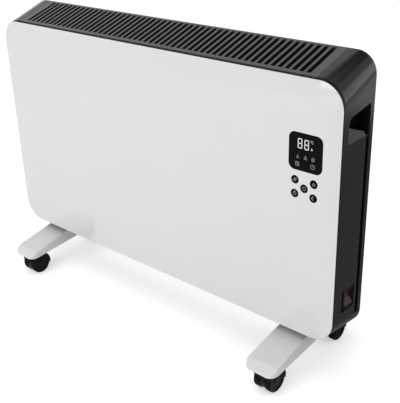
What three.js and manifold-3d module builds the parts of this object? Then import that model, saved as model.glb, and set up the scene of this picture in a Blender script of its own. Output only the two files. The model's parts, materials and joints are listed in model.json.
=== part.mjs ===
// Glass-fronted panel convector heater on two feet with four twin-wheel castors.
// Millimetres, +Z up, the glass faces -Y. The origin is on the floor, under the middle of the heater.
// The housing is drawn in its own group: y = 0 is the face of the glass, z = 0 its lower edge.

import * as THREE from 'three';
import { mergeVertices } from 'three/addons/utils/BufferGeometryUtils.js';
import Module from 'manifold-3d';

const wasm = await Module();
wasm.setup();

// ---------------------------------------------------------------- driving dimensions

const fit = 0.3; // gap between two pieces that seat on each other
const cut = 1; // how far a cutting body passes through a face

// housing
const width = 800;
const glassHeight = 438;
const depth = 86.4;
const floorToGlass = 87.8;
const frontRadius = 42;
const rearRadius = 34;
const topSlope = 0.327; // the top rises towards the back
const rearDrop = 4; // the bottom falls this much towards the back
const wall = 2.5;
const cornerSteps = 7;

// glass and the plate that it is bonded to
const glassThickness = 4;
const plateThickness = 1;
const displaySize = 61;
const displayRadius = 11;
const displayFromSide = 62;
const displayFromTop = 115.5;
const displayX = width / 2 - displayFromSide;
const displayZ = glassHeight - displayFromTop;
const keyRadius = 7;
const keySegments = 20;
const keyX = displayX - 0.6;
const keyZ = displayZ - 58.6;
const keyOffsetX = 17.1;
const keyOffsetZ = 11.6;

// outlet grille in the top, intake grille in the bottom
const slotCount = 52;
const slotLand = 19.27; // plain end of the top grille, from its seam to the first slot's middle
const slotWidth = 8;
const slotFront = 12;
const slotRear = depth - 4;
const bladeDrop = 9;
const seamX = width / 2 - 50.5;
const slotPitch = (2 * (seamX - slotLand)) / (slotCount - 1);
const lipLength = 9;
const intakeCount = 36;
const intakeInset = 146.25; // from the side to the first slot
const intakePitch = (width - 2 * intakeInset) / (intakeCount - 1);
const intakeFront = 20;
const intakeRear = depth - 12.4;

// finger recess in each end cap
const recessRear = depth - 10.9;
const recessTail = 10; // width of the narrow part that runs down into the groove
const recessMouth = [
  [17.4, glassHeight - 67.5, 2],
  [17.4, glassHeight - 54.5, 9],
  [recessRear, glassHeight - 44, 3],
  [recessRear, glassHeight - 94],
  [recessRear - recessTail, glassHeight - 94],
  [recessRear - recessTail, glassHeight - 86.5, 4.5],
  [34.5, glassHeight - 75.5, 12],
]; // [y, z, corner radius]
const recessDepth = 24;
const rampFront = 15.5;
const rampLow = glassHeight - 93.5;
const rampHigh = glassHeight - 65;
const rampDepth = 9;
const grooveRear = depth - 9.9;
const grooveFront = grooveRear - 9;
const grooveDepth = 7;
const grooveLow = 30;
const grooveHigh = glassHeight - 50;

// rocker switch in the right end cap
const switchY = depth - 39.1;
const switchZ = 69;
const switchWidth = 24.5;
const switchHeight = 33;
const bezelRim = 1.2;
const switchRecess = 4;
const switchWell = { front: switchY - 23.3, rear: switchY + 13.8, low: switchZ - 18, high: switchZ + 22, corner: 2 };
const switchBody = 18;
const rockerTilt = THREE.MathUtils.degToRad(12);
const rockerPivotInset = 10;
const rockerTipOut = 7.5;
const rockerValleyOut = 4;
const rockerBack = 4;
const rockerThickness = 5;
const rockerGap = 1.2;

// back panel
const backThickness = 1;
const backInset = 0.3;
const ventCount = 30;
const ventInset = 139; // from the side to the first vent
const ventPitch = (width - 2 * ventInset) / (ventCount - 1);
const ventWidth = 9;
const ventHeight = 34;
const ventRowZ = [70, glassHeight - 48];
const keyholeFromSide = 170;
const keyholeFromTop = 108;
const keyholeX = width / 2 - keyholeFromSide;
const keyholeZ = glassHeight - keyholeFromTop;
const keyholeRadius = 6;
const keyholeSlot = 3;
const keyholeRise = 14;
const postX = width / 2 - 20;
const postLow = 62;
const postHigh = glassHeight - 20;
const postSize = 13;
const postLength = 24;
const screwRadius = 1.6;
const screwHead = 3.8;
const screwHeadHeight = 2.2;
const screwLength = 14;

// heating parts
const elementInset = 120; // from each side
const elementLength = width - 2 * elementInset;
const elementY = 46;
const elementZ = 112;
const elementCore = 7;
const elementFin = 26;
const elementWeb = 2.4;
const stubRadius = 4;
const stubLength = 12;
const sheet = 1.5;
const bracketHeight = 78;
const bracketDepth = 56;
const bracketFlange = 18;
const baffleInset = 100; // from each side
const baffleWidth = width - 2 * baffleInset;
const baffleLow = 60;
const baffleHigh = glassHeight - 38;
const baffleStandoff = 12;
const cutoutRadius = 8;
const cutoutHeight = 9;

// electronics
const boardThickness = 1.6;
const displayBlock = 3.4;
const controlBoardWidth = 70;
const controlBoardHeight = 116;
const powerBoardFromSide = 138;
const powerBoard = { x: width / 2 - powerBoardFromSide, z: 190, width: 80, height: 110, standoff: 6, foot: 6, footRadius: 3 };
const relay = { x: -16, z: 70, width: 28, height: 20, depth: 16 };
const transformer = { x: 17, z: 46, width: 22, height: 32, depth: 22 };
const capacitor = { x: -18, z: 34, radius: 6, depth: 24 };
const tiltSwitchFromSide = 210;
const tiltSwitch = { x: width / 2 - tiltSwitchFromSide, z: 34, width: 22, height: 16, depth: 13, cap: 4 };
const glandX = width / 2 - 100;
const glandZ = 52;
const glandRadius = 11;
const glandBore = 4;

// feet
const footX = width / 2 - 84.5;
const footLength = 260;
const footTopHalf = 28;
const footLowHalf = 31.5;
const footTipRadius = 16;
const footTipSteps = 4;
const footPadHalf = 18;
const footShoulder = 23;
const footShoulderDrop = 9.3;
const footSlope = 0.2225;
const footNose = 15.5;
const footNoseDrop = 13.5;
const footNoseCurve = [
  [0.47, 0.36],
  [0.81, 0.72],
  [0.97, 0.96],
]; // [share of the nose's length, share of its drop]
const footEdge = 0.3;
const footSkirtMiddle = 32.5;
const footWall = 2.6;
const footPadDrop = rearDrop + 0.6;
const footScrewY = 11;
const footScrewRadius = 2.4;
const footScrewHead = 6;
const footScrewHeadHeight = 4;
const footScrewTip = 3;
const footSeat = 6;

// castors
const wheelRadius = 21.4;
const wheelWidth = 12.5;
const castorWidth = 35;
const castorOffsetX = 2.5; // the castors stand this much to the right of the foot's middle
const castorStemY = footLength / 2 - 34.4;
const castorTrail = 4;
const hoodRadius = 24.6;
const hoodWall = 2.2;
const hoodLip = 6;
const stemRadius = 3;
const stemTop = 57.5;
const stemFoot = 4; // over the axle
const neckRadius = 6;
const bossRadius = 8.5;
const neckTop = 51;
const stemChamfer = 1;
const axleRadius = 2;
const axleInset = 4; // from the wheel's outer face
const webShort = 1.6; // the web is this much smaller than the wheels
const hubRadius = 6;
const treadRound = 1.5;
const rimWidth = 3.5;
const faceDish = 1.5;
const wheelSegments = 24;
const hoodSegments = 24;

// ---------------------------------------------------------------- derived sizes

const half = width / 2;
const plateFront = glassThickness + fit;
const shellFront = plateFront + plateThickness + fit;
const backFront = depth - backInset - backThickness;
const seatY = backFront - fit; // what screws to the back panel ends here
const railLow = -rearDrop - fit;
const slotRun = (slotCount - 1) * slotPitch;
const webHalf = castorWidth / 2 - wheelWidth - fit;
const footNoseStart = footLength / 2 - footNose;
const footNoseTop = footShoulderDrop + footSlope * (footNoseStart - footShoulder);
const footSkirtTip = footNoseTop + footNoseDrop + footEdge;

// ---------------------------------------------------------------- materials

function finish(color, roughness, metalness = 0) {
  return new THREE.MeshStandardMaterial({ color, roughness, metalness });
}

const whiteGlass = finish(0xe4e4e4, 0.12);
const blackGloss = finish(0x141414, 0.15);
const blackPlastic = finish(0x2b2b2c, 0.4);
const blackSteel = finish(0x161616, 0.5, 0.3);
const castorPlastic = finish(0x1c1c1c, 0.55);
const whitePlastic = finish(0xdcdcdc, 0.4);
const rockerPlastic = finish(0x5a3a3c, 0.4);
const zincSteel = finish(0xa8a8aa, 0.35, 0.9);
const aluminium = finish(0xb4b6b8, 0.4, 0.9);
const boardGreen = finish(0x1f4a34, 0.6);
const bakelite = finish(0x3a2a22, 0.6);

// ---------------------------------------------------------------- shape helpers

// A solid that can be joined and cut, from any closed geometry.
function solid(geometry) {
  const bare = geometry.clone();
  bare.deleteAttribute('uv');
  bare.deleteAttribute('normal');
  const merged = mergeVertices(bare, 1e-4);
  const corners = merged.index.array;
  const faces = [];
  for (let i = 0; i < corners.length; i += 3) {
    const [a, b, c] = corners.slice(i, i + 3);
    if (a !== b && b !== c && c !== a) faces.push(a, b, c);
  }
  return new wasm.Manifold(
    new wasm.Mesh({
      numProp: 3,
      vertProperties: new Float32Array(merged.attributes.position.array),
      triVerts: new Uint32Array(faces),
    }),
  );
}

function geometryOf(body) {
  const { vertProperties, triVerts } = body.getMesh();
  const geometry = new THREE.BufferGeometry();
  geometry.setAttribute('position', new THREE.BufferAttribute(new Float32Array(vertProperties), 3));
  geometry.setIndex(new THREE.BufferAttribute(new Uint32Array(triVerts), 1));
  geometry.computeVertexNormals();
  return geometry;
}

function piece(name, body, material) {
  const geometry = body.isBufferGeometry ? body : geometryOf(body);
  const mesh = new THREE.Mesh(geometry, material);
  mesh.name = name;
  return mesh;
}

// An axis-aligned block between two corners.
function block(x0, x1, y0, y1, z0, z1) {
  const geometry = new THREE.BoxGeometry(x1 - x0, y1 - y0, z1 - z0);
  geometry.translate((x0 + x1) / 2, (y0 + y1) / 2, (z0 + z1) / 2);
  return solid(geometry);
}

// A round bar between two points along one axis: 'x', 'y' or 'z'.
function rod(axis, radius, from, to, at, segments = 16) {
  const geometry = new THREE.CylinderGeometry(radius, radius, to - from, segments);
  if (axis === 'x') geometry.rotateZ(-Math.PI / 2);
  if (axis === 'z') geometry.rotateX(Math.PI / 2);
  const middle = (from + to) / 2;
  const place = { x: [middle, at[0], at[1]], y: [at[0], middle, at[1]], z: [at[0], at[1], middle] };
  geometry.translate(...place[axis]);
  return solid(geometry);
}

// A shape drawn in x and z, given a thickness from y0 to y1.
function slabXZ(shape, y0, y1, curveSegments = 6) {
  const geometry = new THREE.ExtrudeGeometry(shape, { depth: y1 - y0, bevelEnabled: false, curveSegments });
  geometry.rotateX(Math.PI / 2);
  geometry.translate(0, y1, 0);
  return solid(geometry);
}

// A shape drawn in y and z, given a thickness from x0 to x1.
function slabYZ(shape, x0, x1, curveSegments = 6) {
  const geometry = new THREE.ExtrudeGeometry(shape, { depth: x1 - x0, bevelEnabled: false, curveSegments });
  geometry.rotateY(Math.PI / 2);
  geometry.rotateX(Math.PI / 2);
  geometry.translate(x0, 0, 0);
  return solid(geometry);
}

// A profile of [radius, height] points turned about an axis through the origin.
function turned(axis, profile, segments = 12) {
  const points = profile.map(([radius, height]) => new THREE.Vector2(radius, height));
  const geometry = new THREE.LatheGeometry(points, segments);
  if (axis === 'x') geometry.rotateZ(-Math.PI / 2);
  if (axis === 'z') geometry.rotateX(Math.PI / 2);
  return geometry;
}

function polygon(points) {
  return new THREE.Shape(points.map(([a, b]) => new THREE.Vector2(a, b)));
}

// A polygon of [a, b, radius] corners. A corner without a radius stays sharp.
function roundedPolygon(corners) {
  const points = corners.map(([a, b]) => new THREE.Vector2(a, b));
  const shape = new THREE.Shape();
  corners.forEach(([, , radius = 0], i) => {
    const corner = points[i];
    const before = points.at(i - 1);
    const after = points[(i + 1) % points.length];
    const into = before.clone().sub(corner).setLength(radius).add(corner);
    const out = after.clone().sub(corner).setLength(radius).add(corner);
    if (i === 0) shape.moveTo(into.x, into.y);
    else shape.lineTo(into.x, into.y);
    if (radius > 0) shape.quadraticCurveTo(corner.x, corner.y, out.x, out.y);
  });
  return shape;
}

function roundedRect(centreA, centreB, sizeA, sizeB, radius) {
  const a = centreA - sizeA / 2;
  const b = centreB - sizeB / 2;
  const shape = new THREE.Shape();
  shape.moveTo(a + radius, b);
  shape.lineTo(a + sizeA - radius, b);
  shape.absarc(a + sizeA - radius, b + radius, radius, -Math.PI / 2, 0, false);
  shape.lineTo(a + sizeA, b + sizeB - radius);
  shape.absarc(a + sizeA - radius, b + sizeB - radius, radius, 0, Math.PI / 2, false);
  shape.lineTo(a + radius, b + sizeB);
  shape.absarc(a + radius, b + sizeB - radius, radius, Math.PI / 2, Math.PI, false);
  shape.lineTo(a, b + radius);
  shape.absarc(a + radius, b + radius, radius, Math.PI, 1.5 * Math.PI, false);
  return shape;
}

// A solid between two convex outlines of as many points, which run anticlockwise
// for someone who looks from the second one back at the first.
function loft(first, second) {
  const count = first.length;
  const positions = [...first, ...second].flatMap((point) => point.toArray());
  const faces = [];
  for (let i = 0; i < count; i += 1) {
    const next = (i + 1) % count;
    faces.push(i, next, count + next, i, count + next, count + i);
  }
  for (let i = 1; i < count - 1; i += 1) {
    faces.push(0, i + 1, i);
    faces.push(count, count + i, count + i + 1);
  }
  const geometry = new THREE.BufferGeometry();
  geometry.setAttribute('position', new THREE.Float32BufferAttribute(positions, 3));
  geometry.setIndex(faces);
  return solid(geometry);
}

function mirrored(body) {
  const geometry = geometryOf(body);
  geometry.scale(-1, 1, 1);
  const index = geometry.index.array;
  for (let i = 0; i < index.length; i += 3) {
    [index[i], index[i + 1]] = [index[i + 1], index[i]];
  }
  return solid(geometry);
}

// ---------------------------------------------------------------- housing shell

// The housing's outline at depth y, drawn in by inset: the top rises and the corners
// tighten towards the back.
function housingOutline(y, inset) {
  const along = (y - shellFront) / (depth - shellFront);
  const radius = THREE.MathUtils.lerp(frontRadius, rearRadius, along) - inset;
  const low = -rearDrop * along + inset;
  const high = glassHeight + topSlope * y - inset;
  const side = half - inset;
  const corners = [
    [side - radius, low + radius, -Math.PI / 2],
    [side - radius, high - radius, 0],
    [-side + radius, high - radius, Math.PI / 2],
    [-side + radius, low + radius, Math.PI],
  ];
  return corners.flatMap(([x, z, start]) =>
    Array.from({ length: cornerSteps + 1 }, (_, step) => {
      const angle = start + (step / cornerSteps) * (Math.PI / 2);
      return new THREE.Vector3(x + radius * Math.cos(angle), y, z + radius * Math.sin(angle));
    }),
  );
}

// A ring that follows the housing from y0 to y1, between two insets.
function housingBand(y0, y1, outer, inner) {
  const body = loft(housingOutline(y1, outer), housingOutline(y0, outer));
  return body.subtract(loft(housingOutline(y1 + cut, inner), housingOutline(y0 - cut, inner)));
}

const shell = housingBand(shellFront, depth, 0, wall);

function topGrille() {
  const middle = glassHeight / 2;
  const top = glassHeight + topSlope * depth + cut;
  const band = block(-seamX, seamX, 0, depth + cut, middle, top);
  const frame = shell.intersect(band);
  // blades hang under the plate on both sides of each slot
  const blades = housingBand(slotFront - wall, seatY, wall - fit, bladeDrop).intersect(
    block(-slotRun / 2 - slotWidth, slotRun / 2 + slotWidth, 0, depth, middle, top),
  );
  let grille = frame.add(blades);
  for (let i = 0; i < slotCount; i += 1) {
    const x = -slotRun / 2 + i * slotPitch;
    grille = grille.subtract(block(x - slotWidth / 2, x + slotWidth / 2, slotFront, slotRear, middle, top));
  }
  return grille;
}

function bottomGrille() {
  const middle = glassHeight / 2;
  const low = -rearDrop - cut;
  let rail = shell.intersect(block(-seamX, seamX, 0, depth + cut, low, middle));
  const run = (intakeCount - 1) * intakePitch;
  for (let i = 0; i < intakeCount; i += 1) {
    const x = -run / 2 + i * intakePitch;
    rail = rail.subtract(block(x - slotWidth / 2, x + slotWidth / 2, intakeFront, intakeRear, low, middle));
  }
  const padHalf = footTopHalf - 2 * wall;
  for (const side of [-1, 1]) {
    const x = side * footX;
    const pad = [depth / 2 - footPadHalf, depth / 2 + footPadHalf];
    rail = rail.add(block(x - padHalf, x + padHalf, ...pad, railLow, 2 * wall));
    for (const end of [-1, 1]) {
      const y = depth / 2 + end * footScrewY;
      rail = rail.subtract(rod('z', footScrewRadius + fit, railLow - cut, 2 * wall + cut, [x, y]));
    }
  }
  return rail;
}

// ---------------------------------------------------------------- end caps

// The mouth of the finger recess, spread from its middle by grow on every side.
function recessOutline(grow) {
  const middle = [0, 1].map((k) => recessMouth.reduce((sum, point) => sum + point[k], 0) / recessMouth.length);
  const spread = ([a, b, radius]) => [a + grow * Math.sign(a - middle[0]), b + grow * Math.sign(b - middle[1]), radius];
  return roundedPolygon(recessMouth.map(spread));
}

// The ramp under the recess: flush with the side at rampLow, and deeper towards the mouth.
function rampCutter() {
  const profile = polygon([
    [half + cut, rampLow],
    [half, rampLow],
    [half - rampDepth, rampHigh],
    [half + cut, rampHigh],
  ]);
  return slabXZ(profile, rampFront, grooveFront + cut);
}

function endCap(hasSwitch) {
  const outside = half + cut;
  const top = glassHeight + topSlope * depth + cut;
  const slice = block(seamX + fit, outside, 0, depth + cut, -rearDrop - cut, top);
  let cap = shell.intersect(slice);

  // a lip under each grille carries the grille's end
  const lip = housingBand(shellFront, backFront - fit, wall + fit, 2 * wall + fit);
  cap = cap.add(lip.intersect(block(seamX - lipLength, half - frontRadius, 0, depth, -rearDrop, top)));
  cap = cap.add(
    housingBand(shellFront, backFront - fit, wall / 2, 2 * wall + fit).intersect(
      block(seamX + fit, half - frontRadius, 0, depth, -rearDrop, top),
    ),
  );

  // posts for the back panel's screws
  for (const z of [postLow, postHigh]) {
    const post = block(postX - postSize / 2, half - wall / 2, seatY - postLength, seatY, z - 6, z + 6);
    cap = cap.add(post);
    cap = cap.subtract(rod('y', screwRadius + fit, seatY - postLength + wall, seatY + cut, [postX, z]));
  }

  // the groove along the rear of the side, with its own wall behind it
  const grooveBack = housingBand(grooveFront - wall, grooveRear + wall, wall / 2, grooveDepth + wall);
  cap = cap.add(grooveBack.intersect(block(half - frontRadius, outside, 0, depth, grooveLow - wall, grooveHigh + wall)));
  const groove = housingBand(grooveFront, grooveRear, -cut, grooveDepth);
  cap = cap.subtract(groove.intersect(block(half - rearRadius, outside, 0, depth, grooveLow, grooveHigh)));

  // the finger recess and its ramp
  const inside = half - wall / 2;
  cap = cap.add(slabYZ(recessOutline(wall), half - recessDepth - wall, inside));
  cap = cap.add(block(half - rampDepth - wall, inside, rampFront - wall, grooveFront, rampLow - wall, rampHigh));
  cap = cap.subtract(slabYZ(recessOutline(0), half - recessDepth, outside));
  cap = cap.subtract(rampCutter());

  if (hasSwitch) {
    const { front, rear, low, high, corner } = switchWell;
    const middle = [(front + rear) / 2, (low + high) / 2];
    const size = [rear - front, high - low];
    const outer = size.map((value) => value + 2 * wall);
    const well = roundedRect(...middle, ...outer, corner + wall);
    const mouth = roundedRect(...middle, ...size, corner);
    const hole = roundedRect(switchY, switchZ, switchWidth + 2 * fit, switchHeight + 2 * fit, 1);
    cap = cap.add(slabYZ(well, half - switchRecess - wall, half - wall / 2));
    cap = cap.subtract(slabYZ(mouth, half - switchRecess, outside));
    cap = cap.subtract(slabYZ(hole, half - switchRecess - wall - cut, outside));
  }
  return cap;
}

// ---------------------------------------------------------------- front

const keyPlaces = [
  [keyX - keyOffsetX, keyZ + keyOffsetZ],
  [keyX + keyOffsetX, keyZ + keyOffsetZ],
  [keyX, keyZ],
  [keyX - keyOffsetX, keyZ - keyOffsetZ],
  [keyX + keyOffsetX, keyZ - keyOffsetZ],
];

function frontGlass() {
  let pane = slabXZ(roundedRect(0, glassHeight / 2, width, glassHeight, frontRadius), 0, glassThickness, cornerSteps);
  const window = roundedRect(displayX, displayZ, displaySize + 2 * fit, displaySize + 2 * fit, displayRadius + fit);
  pane = pane.subtract(slabXZ(window, -cut, glassThickness + cut));
  for (const place of keyPlaces) {
    pane = pane.subtract(rod('y', keyRadius + fit, -cut, glassThickness + cut, place, keySegments));
  }
  return pane;
}

function displayWindow() {
  const outline = roundedRect(displayX, displayZ, displaySize, displaySize, displayRadius);
  return slabXZ(outline, 0, glassThickness);
}

function frontPlate() {
  const y = [plateFront, plateFront + plateThickness];
  let plate = slabXZ(roundedRect(0, glassHeight / 2, width, glassHeight, frontRadius), ...y, cornerSteps);
  const gap = 4 * fit;
  const open = [y[0] - cut, y[1] + cut];
  const window = roundedRect(displayX, displayZ, displaySize + gap, displaySize + gap, displayRadius);
  plate = plate.subtract(slabXZ(window, ...open));
  const keyField = roundedRect(keyX, keyZ, 2 * (keyOffsetX + keyRadius), 2 * (keyOffsetZ + keyRadius), keyRadius);
  return plate.subtract(slabXZ(keyField, ...open));
}

// Display block and touch pads, on one board behind the glass.
function controlBoard() {
  const padBack = plateFront + displayBlock;
  const centreZ = (displayZ + keyZ) / 2;
  const shape = roundedRect(displayX, centreZ - 4, controlBoardWidth, controlBoardHeight, 3);
  let board = slabXZ(shape, padBack, padBack + boardThickness);
  for (const [x, z] of keyPlaces) {
    board = board.add(rod('y', keyRadius - 2, plateFront, padBack + fit, [x, z], 12));
  }
  for (const dx of [-1, 1]) {
    const x = displayX + dx * (controlBoardWidth / 2 - 4);
    board = board.add(rod('y', 3, shellFront, padBack + fit, [x, keyZ - keyOffsetZ - 2 * keyRadius], 12));
  }
  return board.add(block(displayX - 20, displayX + 20, padBack + 1, padBack + 8, keyZ - 12, keyZ + 16));
}

function displayModule() {
  const size = displaySize - 3;
  const back = plateFront + displayBlock - fit;
  return slabXZ(roundedRect(displayX, displayZ, size, size, displayRadius - 2), plateFront, back);
}

// ---------------------------------------------------------------- back

function backPanel() {
  const inset = wall + fit;
  const outline = housingOutline(backFront, inset);
  let panel = loft(outline.map((point) => point.clone().setY(backFront + backThickness)), outline);
  const through = [backFront - cut, depth + cut];
  const run = (ventCount - 1) * ventPitch;
  for (const z of ventRowZ) {
    for (let i = 0; i < ventCount; i += 1) {
      const x = -run / 2 + i * ventPitch;
      panel = panel.subtract(block(x - ventWidth / 2, x + ventWidth / 2, ...through, z - ventHeight / 2, z + ventHeight / 2));
    }
  }
  for (const side of [-1, 1]) {
    const x = side * keyholeX;
    panel = panel.subtract(rod('y', keyholeRadius, ...through, [x, keyholeZ]));
    panel = panel.subtract(block(x - keyholeSlot, x + keyholeSlot, ...through, keyholeZ, keyholeZ + keyholeRise));
    for (const z of [postLow, postHigh]) {
      panel = panel.subtract(rod('y', screwRadius + fit, ...through, [side * postX, z]));
    }
  }
  return panel.subtract(rod('y', glandRadius - 3 + fit, ...through, [glandX, glandZ]));
}

function panScrew(axis, radius, head, headHeight, length) {
  return turned(axis, [
    [0, -length],
    [radius, -length],
    [radius, 0],
    [head, 0],
    [head, headHeight * 0.5],
    [head * 0.6, headHeight],
    [0, headHeight],
  ]);
}

// A bush for the mains lead: flange outside, collar through the panel, nut inside.
function cordGland() {
  const outer = depth + fit - backInset;
  return turned(
    'y',
    [
      [glandBore, backFront - 12],
      [glandRadius - 3, backFront - 12],
      [glandRadius - 3, outer],
      [glandRadius, outer],
      [glandRadius, outer + 3],
      [glandRadius - 4, outer + 12],
      [glandBore, outer + 12],
      [glandBore, backFront - 12],
    ],
    16,
  );
}

// ---------------------------------------------------------------- heating parts

// A cast bar with a cross of four fins, and a terminal stub at each end.
function heatingElement() {
  const shape = [];
  for (let i = 0; i < 4; i += 1) {
    const turn = Math.PI / 4 + (i * Math.PI) / 2;
    const points = [
      [elementCore, -elementWeb],
      [elementFin, -elementWeb / 2],
      [elementFin, elementWeb / 2],
      [elementCore, elementWeb],
    ];
    for (const [along, across] of points) {
      shape.push([
        elementY + along * Math.cos(turn) - across * Math.sin(turn),
        elementZ + along * Math.sin(turn) + across * Math.cos(turn),
      ]);
    }
  }
  const end = elementLength / 2;
  const bar = slabYZ(polygon(shape), -end, end);
  return bar.add(rod('x', stubRadius, -end - stubLength, end + stubLength, [elementY, elementZ]));
}

function elementBracket(side) {
  const x = side * (elementLength / 2 + fit + sheet / 2);
  const low = elementZ - bracketHeight / 2;
  const high = elementZ + bracketHeight / 2;
  let bracket = block(x - sheet / 2, x + sheet / 2, seatY - bracketDepth, seatY, low, high);
  const inner = Math.min(x, x + side * bracketFlange);
  bracket = bracket.add(block(inner, inner + bracketFlange, seatY - sheet, seatY, low, high));
  const hole = rod('x', stubRadius + fit, x - sheet, x + sheet, [elementY, elementZ]);
  return bracket.subtract(hole);
}

function thermalCutout() {
  const x = elementLength / 2 + fit + sheet + fit;
  const place = [elementY, elementZ + 24];
  return rod('x', cutoutRadius, x, x + cutoutHeight, place).add(
    rod('x', cutoutRadius / 3, x + cutoutHeight - fit, x + cutoutHeight + 5, place, 12),
  );
}

// A reflector sheet between the heating element and the glass.
function heatBaffle() {
  const y = shellFront + baffleStandoff;
  const side = baffleWidth / 2;
  return block(-side, side, y, y + sheet, baffleLow, baffleHigh)
    .add(block(-side, side, shellFront, y + sheet, baffleHigh - sheet, baffleHigh))
    .add(block(-side, side, shellFront, y + sheet, baffleLow, baffleLow + sheet));
}

// ---------------------------------------------------------------- electronics

function powerBoardBody() {
  const { x, z, width: across, height, standoff, foot: inset, footRadius } = powerBoard;
  const y = seatY - standoff - boardThickness;
  let board = block(x - across / 2, x + across / 2, y, y + boardThickness, z, z + height);
  for (const dx of [-1, 1]) {
    for (const dz of [inset, height - inset]) {
      board = board.add(rod('y', footRadius, y + fit, seatY, [x + dx * (across / 2 - inset), z + dz], 12));
    }
  }
  for (const part of [relay, transformer]) {
    const left = x + part.x - part.width / 2;
    const low = z + part.z - part.height / 2;
    board = board.add(block(left, left + part.width, y - part.depth, y + fit, low, low + part.height));
  }
  return board.add(rod('y', capacitor.radius, y - capacitor.depth, y + fit, [x + capacitor.x, z + capacitor.z]));
}

function tiltSwitchBody() {
  const { x, z, width: across, height, depth: deep, cap } = tiltSwitch;
  const body = block(x - across / 2, x + across / 2, seatY - deep, seatY, z, z + height);
  return body.add(rod('y', height / 3, seatY - deep - cap, seatY - deep + fit, [x, z + height / 2], 16));
}

// ---------------------------------------------------------------- rocker switch

const bezelBack = half - switchRecess + fit;
const rockerPivotX = half - rockerPivotInset;

function switchBodyPiece() {
  const outer = roundedRect(switchY, switchZ, switchWidth + 2 * bezelRim, switchHeight + 2 * bezelRim, 2);
  const core = roundedRect(switchY, switchZ, switchWidth, switchHeight, 0.8);
  const opening = roundedRect(switchY, switchZ, switchWidth - 2 * rockerGap, switchHeight - 2 * rockerGap, 0.5);
  let body = slabYZ(outer, bezelBack, bezelBack + 1.5);
  body = body.add(slabYZ(core, half - switchBody - switchRecess, bezelBack + fit));
  body = body.subtract(slabYZ(opening, half - switchBody - switchRecess + 5, half + cut));
  for (const z of [-8, 8]) {
    const back = half - switchBody - switchRecess;
    body = body.add(block(back - 7, back + fit, switchY - 3, switchY + 3, switchZ + z - 0.5, switchZ + z + 0.5));
  }
  return body;
}

// A shallow V in side view, turned about the pin through its pivot.
function rocker() {
  const tip = switchHeight / 2 - 2 * rockerGap - fit;
  const shape = polygon([
    [rockerTipOut, -tip],
    [rockerValleyOut, 0],
    [rockerTipOut, tip],
    [rockerTipOut - rockerThickness, tip],
    [-rockerBack, rockerBack],
    [-rockerBack, -rockerBack],
    [rockerTipOut - rockerThickness, -tip],
  ]);
  const across = (switchWidth - 2 * rockerGap) / 2 - fit;
  return slabXZ(shape, -across, across);
}

// ---------------------------------------------------------------- feet

// Half of the foot's side view, as heights under the lower edge of the glass.
function footTopLine(grow) {
  return [
    [footPadHalf + grow, -footPadDrop + grow],
    [footShoulder + grow / 2, -footShoulderDrop + grow],
    [footNoseStart, -footNoseTop + grow],
    ...footNoseCurve.map(([along, down]) => [
      footNoseStart + along * footNose + grow * down,
      -footNoseTop - down * footNoseDrop + grow * (1 - down),
    ]),
    [footLength / 2 + grow, -footNoseTop - footNoseDrop],
  ];
}

function footProfile(grow, drop) {
  const line = footTopLine(grow);
  const front = line.map(([y, z]) => [-y, z]);
  const under = [
    [footLength / 2 + grow, -footSkirtTip - drop],
    [0, -footSkirtMiddle - drop],
    [-footLength / 2 - grow, -footSkirtTip - drop],
  ];
  return polygon([...line, ...under, ...front.reverse()]);
}

// The foot's plan with rounded tips, a little wider below than above.
function footPlan(grow) {
  const low = footOutline(footLowHalf + grow, footLength / 2 + grow, -footSkirtTip - cut);
  const high = footOutline(footTopHalf + grow, footLength / 2 + grow, 0);
  return loft(low, high);
}

function footOutline(halfWidth, halfLength, z) {
  const radius = footTipRadius;
  const corners = [
    [halfWidth - radius, -halfLength + radius, -Math.PI / 2],
    [halfWidth - radius, halfLength - radius, 0],
    [-halfWidth + radius, halfLength - radius, Math.PI / 2],
    [-halfWidth + radius, -halfLength + radius, Math.PI],
  ];
  return corners.flatMap(([x, y, start]) =>
    Array.from({ length: footTipSteps + 1 }, (_, step) => {
      const angle = start + (step / footTipSteps) * (Math.PI / 2);
      return new THREE.Vector3(x + radius * Math.cos(angle), y + radius * Math.sin(angle), z);
    }),
  );
}

// A hollow foot, open below, with a boss for each castor and each screw.
function foot() {
  const span = footLowHalf + cut;
  const outer = slabYZ(footProfile(0, 0), -span, span).intersect(footPlan(0));
  const inner = slabYZ(footProfile(-footWall, 2 * cut), -span, span).intersect(footPlan(-footWall));
  let body = outer.subtract(inner);
  const bossLow = neckTop + fit - floorToGlass;
  const seatLow = -footShoulderDrop - footSeat;
  for (const end of [-1, 1]) {
    const place = [castorOffsetX, end * castorStemY];
    body = body.add(rod('z', bossRadius, bossLow, 0, place).intersect(outer));
    body = body.subtract(rod('z', stemRadius + fit, bossLow - cut, stemTop + fit - floorToGlass, place));
    body = body.add(rod('z', footScrewHead + wall / 2, seatLow, -footPadDrop - cut, [0, end * footScrewY]));
    body = body.subtract(rod('z', footScrewRadius + fit, -2 * footSkirtTip, 0, [0, end * footScrewY]));
  }
  return body;
}

function footScrew() {
  const seat = -footShoulderDrop - footSeat - fit;
  return turned('z', [
    [0, seat - footScrewHeadHeight],
    [footScrewHead, seat - footScrewHeadHeight],
    [footScrewHead, seat],
    [footScrewRadius, seat],
    [footScrewRadius, 2 * wall + footScrewTip],
    [0, 2 * wall + footScrewTip],
  ]);
}

// ---------------------------------------------------------------- castors

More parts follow.
